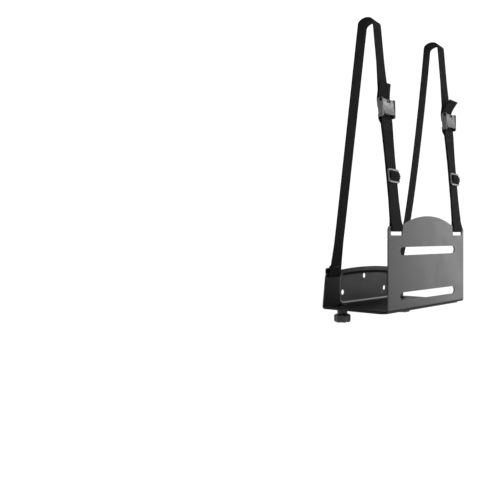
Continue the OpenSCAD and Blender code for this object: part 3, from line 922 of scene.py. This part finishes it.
def webbing_object(name, route):
    """A length of webbing along a route, with the metres along and across it as its own map."""
    points = softened(route)
    section = webbing_section()
    wander_depth, wander_length = 0.04, 7.0
    verts, spots = [], []
    along = 0.0
    last = len(points) - 1
    rng = random.Random(name)
    for i, point in enumerate(points):
        ahead = (points[min(i + 1, last)] - points[max(i - 1, 0)]).to_3d().normalized()
        if i:
            along += (point - points[i - 1]).to_3d().length
        twist = radians(point.w)
        across = Vector((cos(twist), sin(twist), 0))
        across = (across - ahead * across.dot(ahead)).normalized()
        out = ahead.cross(across)
        wander = wander_depth * sin(along / wander_length + rng.random() * 0.3)
        for a, n in section:
            verts.append(point.to_3d() + across * (a + wander) + out * n)
            spots.append((a * MM, along * MM))
    made = new_object(name, verts, swept_faces(len(points), len(section)))
    layer = made.data.uv_layers.new(name="weave")
    for loop in made.data.loops:
        layer.data[loop.index].uv = spots[loop.vertex_index]
    return made


def smooth_step(share):
    share = min(1.0, max(0.0, share))
    return share * share * (3 - 2 * share)


def long_strap(hand, side):
    """Free tail, turn round the grip bar, front leg, bend over the top, wall leg and loose loop."""
    front, wall = FRONT_LEG[side], WALL_LEG[side]
    middle = CAM_HEIGHT[side]
    centre, front_height, wall_height = apex(side)
    top = wall.at(PLY_OFFSET, wall_height)
    start_y = wall.start.x
    splay_start = CAM_HALF_HEIGHT + 1.0
    turn_radius = CAM_SHEET / 2 + PLY_OFFSET

    def spot(yz, twist=0.0, sideways=0.0):
        share = min(1.0, max(0.0, (yz[0] - top.x) / (start_y - top.x)))
        return (side * (STRAP_X + (WING_X - STRAP_X) * share + sideways), yz[0], yz[1], twist)

    def tail(share):
        rise = splay_start + (TAIL_LENGTH[side] - splay_start) * share
        out = TAIL_SPLAY[side] * share ** TAIL_CURL
        return spot(front.at(PLY_GAP - out, middle + rise), 0.0, TAIL_SIDEWAYS[side] * share)

    def wall_spot(y, height):
        bowed = min(1.0, (wall_height - height) / (wall_height - WING_SEWN - 2.0))
        bow = bowed ** 0.75 * (1 - bowed ** 8)
        place = wall.at(y + BOW_FORWARD[side] * bow, height)
        twist = WALL_TWIST * smooth_step((height - WING_PLIES_MEET) / WALL_TWIST_RUN)
        return spot(place, twist, BOW_SIDEWAYS[side] * sin(pi * bowed))

    route = [tail(1 - step / 5) for step in range(6)]
    for y, z in arc((CAM_PLATE_MIDDLE, middle + GRIP_BAR_UNDER), turn_radius, 180, 360, 12):
        route.append(spot(front.at(y, z)))
    route.append(spot(front.at(RETURN_OFFSET, middle + CAM_HALF_HEIGHT)))
    steps = 12
    start = middle + CAM_HALF_HEIGHT + STRAND_SETTLES
    for i in range(steps):
        share = i / steps
        twist = FRONT_TWIST[side] * smooth_step(0.3 + 1.4 * share)
        route.append(spot(front.at(UPPER_OFFSET, start + (front_height - start) * share), twist))
    steps = 24
    front_end, wall_start = 180 - degrees(FRONT_LEAN[side]), degrees(WALL_LEAN[side])
    for i, (y, z) in enumerate(arc(centre, APEX_RADIUS, front_end, wall_start, steps)):
        point = (y, centre.y + APEX_FLATNESS * (z - centre.y))
        route.append(spot(point, FRONT_TWIST[side] + (WALL_TWIST - FRONT_TWIST[side]) * i / steps))
    steps = 16
    for i in range(1, steps + 1):
        route.append(wall_spot(PLY_OFFSET, wall_height + (WALL_LEG_END - wall_height) * i / steps))
    bar_y, bar_under = WING_FRONT + SHEET / 2, WING_TOP - WING_BAR
    slack_top = WING_TOP + SLACK_ABOVE_WING
    slack_corner = 0.8
    route += [spot(p) for p in arc((bar_y, bar_under), LOOP_RADIUS, 180, 360, 12)]
    route += [spot(p) for p in ((SLACK_Y, bar_under + 2.5), (SLACK_Y, slack_top),
                                (SLACK_Y - slack_corner, slack_top + slack_corner))]
    route += [wall_spot(-PLY_OFFSET, height) for height in (WING_PLIES_MEET, WING_SEWN)]
    made = webbing_object(f"long_strap_{hand}", route)
    belongs(made, None, "webbing", f"long_webbing_{hand}", f"wall_webbing_{hand}")
    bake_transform(made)


def short_strap(hand, side):
    """Inner ply, loop round the slot bar, main ply and the sewn loop round the anchor bar."""
    anchor = CAM_HEIGHT[side] + ANCHOR_BAR_TOP
    glide = GLIDE_HEIGHT[side]
    plies_end = glide + SECOND_PLY_ABOVE_GLIDE
    turned_from, turned_to = glide - GLIDE_DOWN - 1.0, glide + GLIDE_UP + 1.0

    def spot(yz):
        return (side * STRAP_X, yz[0], yz[1], 0.0)

    def on_leg(y, z):
        """A point of the leg, which is turned a little along the tri-glide's travel."""
        turned = min(smooth_step(z / turned_from), smooth_step((anchor - z) / (anchor - turned_to)))
        twist = radians(GLIDE_TWIST * turned)
        place = FRONT_LEG[side].at(y * cos(twist), z)
        return (side * STRAP_X - y * sin(twist), place.x, place.y, degrees(twist))

    lead, merge, settled = 6.0, 12.0, 20.0
    route = [on_leg(PLY_OFFSET, plies_end), on_leg(PLY_OFFSET, glide), on_leg(PLY_OFFSET, turned_from),
             on_leg(PLY_OFFSET, SHOULDER_PLIES_MEET), spot((BAR_Y + LOOP_RADIUS, SHOULDER_TOP + FIT))]
    route += [spot(p) for p in arc((BAR_Y, SHOULDER_TOP - SLOT_BAR), LOOP_RADIUS, 0, -180, 12)]
    route += [spot((BAR_Y - LOOP_RADIUS, SHOULDER_TOP + FIT)), on_leg(-PLY_OFFSET, SHOULDER_PLIES_MEET)]
    levels = [turned_from, glide, turned_to, (turned_to + anchor) / 2, anchor - settled, anchor - lead]
    route += [on_leg(-PLY_OFFSET, level) for level in levels]
    anchor_radius = CAM_SHEET / 2 + FIT + WEBBING / 2
    route += [on_leg(y, z) for y, z in arc((CAM_PLATE_MIDDLE, anchor), anchor_radius, 180, 0, 12)]
    route.append(on_leg(RETURN_OFFSET, anchor - lead))
    levels = [anchor - merge, anchor - settled, (turned_to + anchor) / 2, turned_to,
              plies_end + PLY_GAP]
    route += [on_leg(PLY_OFFSET, level) for level in levels]
    made = webbing_object(f"short_strap_{hand}", route)
    belongs(made, "outer_bracket", "webbing", f"short_webbing_{hand}")


def glide_fold(hand, side):
    """Webbing folded forward over the tri-glide's middle bar, gathered into small ribs."""
    level = GLIDE_HEIGHT[side]
    twist = radians(GLIDE_TWIST)
    reach, end_run, rib = 6.4, 0.6, 2.9
    foot, crest, ripple = 2.6, 3.4, 0.9
    steps = 24
    route = []
    for i in range(steps + 1):
        z = reach * (1 - 2 * i / steps)
        bulge = sqrt(max(0.0, 1 - (z / (reach - end_run)) ** 2))
        y = -foot - bulge * (crest + ripple * cos(2 * pi * z / rib))
        place = FRONT_LEG[side].at(y * cos(twist), level + z)
        route.append((side * STRAP_X - y * sin(twist), *place, GLIDE_TWIST))
    made = webbing_object(f"glide_fold_{hand}_webbing", route)
    belongs(made, f"tri_glide_{hand}", "webbing", f"glide_fold_{hand}")


def stitch_run(start, end, out, pitch=2.6):
    """Raised stitches of thread from start to end, lying on a face whose normal is out."""
    thread_radius, gap = 0.24, 0.12
    rises = ((0, -0.15), (gap, 0.1), (0.5, 0.2), (1 - gap, 0.1), (1, -0.15))
    count = max(1, round((end - start).length / pitch))
    parts = []
    for i in range(count):
        a = start.lerp(end, (i + gap) / count)
        b = start.lerp(end, (i + 1 - gap) / count)
        path = [a.lerp(b, share) + out * rise for share, rise in rises]
        parts.append(tube_mesh(path, thread_radius, 6))
    return parts


def box_stitch(name, place, low, high, half_width, y, out):
    """A sewn box with its two diagonals, in a leg's own X and Z at depth y."""
    corners = [Vector((x * half_width, y, z)) for x, z in ((-1, low), (1, low), (1, high), (-1, high))]
    parts = []
    for a, b in ((0, 1), (1, 2), (2, 3), (3, 0), (0, 2), (1, 3)):
        parts += stitch_run(corners[a], corners[b], Vector((0, out, 0)))
    return joined(name, parts, place)


def sewing():
    face = PLY_OFFSET + WEBBING / 2 + 0.05
    hem = 0.8
    for hand, side in SIDES.items():
        front = box_stitch(f"buckle_stitching_{hand}", cam_place(side),
                           *BUCKLE_SEWN, 9.0, -face, -1)
        belongs(front, "outer_bracket", "webbing", material=THREAD)
        wall_place = (Matrix.Translation((side * WING_X, *WALL_LEG[side].start))
                      @ Matrix.Rotation(WALL_LEAN[side], 4, "X"))
        for face_name, out in (("front", -1), ("back", 1)):
            made = box_stitch(f"wing_stitching_{face_name}_{hand}", wall_place,
                              WING_PLIES_MEET + hem, WING_SEWN - hem, 10.0, out * face, out)
            belongs(made, "wall_bracket", "webbing", material=THREAD)


# -------- buckles

def cam_frame(hand, side):
    """Folded steel frame: a base with two windows between two ears with a pressed panel each."""
    node = f"cam_frame_{hand}"
    leg = cam_place(side)
    bend, base_half = 1.0, 12.75
    quarter = bend * pi / 2
    ear_start = base_half + quarter
    ear_top, ear_bottom = ear_start + 8.55, ear_start + 6.35
    high, window, window_corner = CAM_HALF_HEIGHT, 25.4, 0.8
    outline = rounded([(-ear_bottom, -high, 1.6), (ear_bottom, -high, 1.6), (ear_top, high, 2.0),
                       (-ear_top, high, 2.0)], 6)
    windows = ((-7.75, 3.1), (-0.8, 6.0))
    holes = [box_outline((0, z), window, height, window_corner) for z, height in windows]
    pin_u = ear_start + (CAM_PLATE_MIDDLE - bend) - CAM_PIN_Y
    holes += [round_hole((end * pin_u, CAM_PIN_Z), CAM_PIN_RADIUS + 0.05, 16) for end in BOTH]
    creases, pressed = [], []
    for end in BOTH:
        for i in range(6):
            u = end * (base_half + quarter * i / 5)
            creases.append(((u, -high - 1), (u, high + 1)))
        for inset, depth in ((1.6, 0.0), (2.0, 0.14), (2.5, 0.32)):
            near, low, up = end * (ear_start + inset - 0.8), inset - high, 7.4 - inset
            panel = [(near, low, 0.8), (end * (ear_bottom - inset), low, 0.9),
                     (end * (ear_top - inset - 0.7), up, 0.9), (near, up, 0.8)]
            pressed.append((rounded(panel, 4), depth))

    def place(u, v, depth):
        end = copysign(1, u)
        run = abs(u) - base_half
        if run <= 0:
            x, y = u, CAM_PLATE_MIDDLE
        elif run < quarter:
            x = end * (base_half + bend * sin(run / bend))
            y = CAM_PLATE_MIDDLE - bend + bend * cos(run / bend)
        else:
            x = end * (base_half + bend - depth)
            y = CAM_PLATE_MIDDLE - bend - (abs(u) - ear_start)
        return leg @ Vector((x, y, v))

    made = sheet_object(f"{node}_sheet", outline, holes, place, CAM_SHEET, 0.3,
                        pressed=pressed, creases=creases)
    belongs(made, "outer_bracket", "cam_steel", node)


def cam_pin(hand, side):
    """Pivot pin with a domed rivet head at each end, drawn along its own Z."""
    node = f"cam_pin_{hand}"
    ear_outside, head, rise = 14.5, 2.5, 0.8
    half = [(head * sin(angle), ear_outside + rise * cos(angle))
            for angle in map(radians, (0, 20, 40, 60, 80, 90))]
    half += [(head - 0.1, ear_outside), (CAM_PIN_RADIUS, ear_outside)]
    rings = [circle(r, h) for r, h in half] + [circle(r, -h) for r, h in reversed(half)]
    place = cam_pin_place(side) @ Matrix.Rotation(pi / 2, 4, "Y")
    belongs(ring_stack(f"{node}_rivet", rings, place, 40), "outer_bracket", "zinc", node)


def cam_spring(hand, side):
    """Torsion spring: coil round the pin, one leg behind the thumb plate and one to the webbing."""
    node = f"cam_spring_{hand}"
    wire, coil, turns, half = 0.35, 2.0, 5, 3.1
    steps = 20
    path = [(-half, -0.85, -9.0), (-half, -0.9, -4.5), (-half, -1.35, -2.2)]
    for i in range(turns * steps + 1):
        angle = radians(215) - 2 * pi * i / steps
        x = half * (2 * i / (turns * steps) - 1)
        path.append((x, coil * cos(angle), coil * sin(angle)))
    path += [(half, 1.8, -1.4), (half, 2.25, -3.6), (half, 2.7, -5.4)]
    rod = tube_mesh([Vector(point) for point in path], wire, 10)
    made = joined(f"{node}_coil", [rod], cam_pin_place(side))
    belongs(made, "outer_bracket", "spring_steel", node)


def cam_lever(hand, side):
    """Dished thumb plate with a grip lip, and two cheeks that carry the hub and the toothed nose."""
    node = f"cam_lever_{hand}"
    leg = cam_place(side)
    half_width, window = 12.1, 4.2
    bottom, notch, top = -9.0, 6.8, 9.8
    middle, plate, dish, lip_depth, hub = -5.4, 1.2, 0.45, 0.9, 2.4
    outline = rounded([(-half_width, bottom, 2.2), (half_width, bottom, 2.2), (half_width, top, 0.6),
                       (window, top, 0.3), (window, notch, 1.0), (-window, notch, 1.0),
                       (-window, top, 0.3), (-half_width, top, 0.6)], 5)
    columns = [half_width * k / 8 for k in range(-7, 8)]
    rows = [bottom + 1.5 * k for k in range(1, 12)]
    creases = [((x, bottom - 1), (x, top + 1)) for x in columns]
    creases += [((-half_width - 1, z), (half_width + 1, z)) for z in rows]

    def place(u, v, depth):
        lip = max(0.0, (-3.0 - v) / 6.0)
        hollow = dish * (1 - (u / half_width) ** 2) * max(0.0, 1 - ((v + 0.5) / 7.0) ** 2)
        return leg @ Vector((u, middle - lip_depth * lip ** 2 + hollow, v))

    made = sheet_object(f"{node}_plate", outline, [], place, plate, 0.35, creases=creases)
    belongs(made, node, "cam_lever_steel", node)

    y, z = CAM_PIN_Y, CAM_PIN_Z
    profile = arc((y, z), hub, 70, 180, 10)
    profile += [(-6.3, 4.0), (-5.3, 2.0), (-5.3, 5.5), (y + 0.2, z - 2.2), (-2.2, z - 1.6)]
    teeth = [(-1.7, 0.4), (-0.95, 1.0), (-1.45, 1.35), (-1.0, 1.7), (-1.5, 2.05), (-1.15, 2.35),
             (-2.2, 2.5)]
    profile += [(out, z + rise) for out, rise in teeth]
    bore = round_hole((y, z), CAM_PIN_RADIUS + 0.1, 16)
    cheek = half_width - window - 0.2

    for end_name, end in SIDES.items():
        def cheek_place(u, v, depth, end=end):
            return leg @ Vector((end * (window + 0.1 + cheek / 2), u, v))
        made = sheet_object(f"{node}_cheek_{end_name}", profile, [bore], cheek_place, cheek, 0.12)
        belongs(made, node, "cam_lever_steel")


def tri_glide(hand, side):
    """Three bars between two rails, with rounded edges like a die-cast slider."""
    node = f"tri_glide_{hand}"
    width, height, thickness, back = 28.6, 19.0, 2.2, -2.4
    bar, rail = 2.8, 1.7
    window = (height - 3 * bar) / 2
    level = (bar + window) / 2
    holes = [box_outline((0, end * level), width - 2 * rail, window, 1.3) for end in BOTH]
    leg = leg_place(side, GLIDE_HEIGHT[side]) @ Matrix.Rotation(radians(GLIDE_TWIST), 4, "Z")

    def place(u, v, depth):
        return leg @ Vector((u, back - thickness / 2, v))

    outline = box_outline((0, 0), width, height, 3.4, 8)
    made = sheet_object(f"{node}_slider", outline, holes, place, thickness, 0.75)
    belongs(made, node, "tri_glide_steel", node)


# -------- assembly

wall_bracket()
outer_bracket()
clamps()
for hand, side in SIDES.items():
    for make in (long_strap, short_strap, glide_fold, cam_frame, cam_pin, cam_spring, cam_lever,
                 tri_glide):
        make(hand, side)
sewing()


# -------- studio

def studio_floor():
    reach, drop = 40.0, 0.35
    look = Look("studio_floor", 0.9)
    shade = look.spread(look.grain(300))
    look.paint(shade, (0.95, 0.95, 0.95), (0.97, 0.97, 0.97))
    level = cad_box[0].z - drop
    corners = [(x * reach, y * reach, level) for x, y in ((-1, -1), (1, -1), (1, 1), (-1, 1))]
    mesh = bpy.data.meshes.new("floor")
    mesh.from_pydata(corners, [], [(0, 1, 2, 3)])
    mesh.materials.append(look.material)
    linked("floor", mesh)


def area_light(name, location, target, size, power):
    lamp = bpy.data.lights.new(name, "AREA")
    lamp.shape = "RECTANGLE"
    lamp.size, lamp.size_y = size
    lamp.energy = power
    made = linked(name, lamp)
    made.location = location
    aim = Vector(target) - Vector(location)
    made.rotation_euler = aim.to_track_quat("-Z", "Y").to_euler()


def studio():
    studio_floor()
    world = bpy.data.worlds.new("studio")
    world.use_nodes = True
    sky = world.node_tree.nodes["Background"]
    sky.inputs["Color"].default_value = (1, 1, 1, 1)
    sky.inputs["Strength"].default_value = 1.08
    bpy.context.scene.world = world
    area_light("key", (0.37, -0.28, 0.08), (0.08, -0.118, 0.04), (0.12, 0.30), 0.55)
    area_light("fill", (0.50, -0.62, 0.34), (0.05, -0.10, 0.27), (0.2, 0.3), 1.0)
    area_light("top", (0.6, -0.9, 1.6), (0, -0.06, 0.1), (1.0, 1.0), 2.5)


def camera():
    """Level, so that upright lines stay upright, and off the arched bracket's left end."""
    eye, heading = (-0.76672, -0.59186, 0.08342), radians(37.731)
    lens = bpy.data.cameras.new("camera")
    lens.sensor_width = 36
    lens.lens = 45.02
    lens.shift_x, lens.shift_y = -0.22, -0.0329
    made = linked("camera", lens)
    made.location = eye
    made.rotation_euler = (pi / 2, 0, heading - pi / 2)
    bpy.context.scene.camera = made


studio()
camera()
bpy.context.scene.view_settings.view_transform = "Standard"
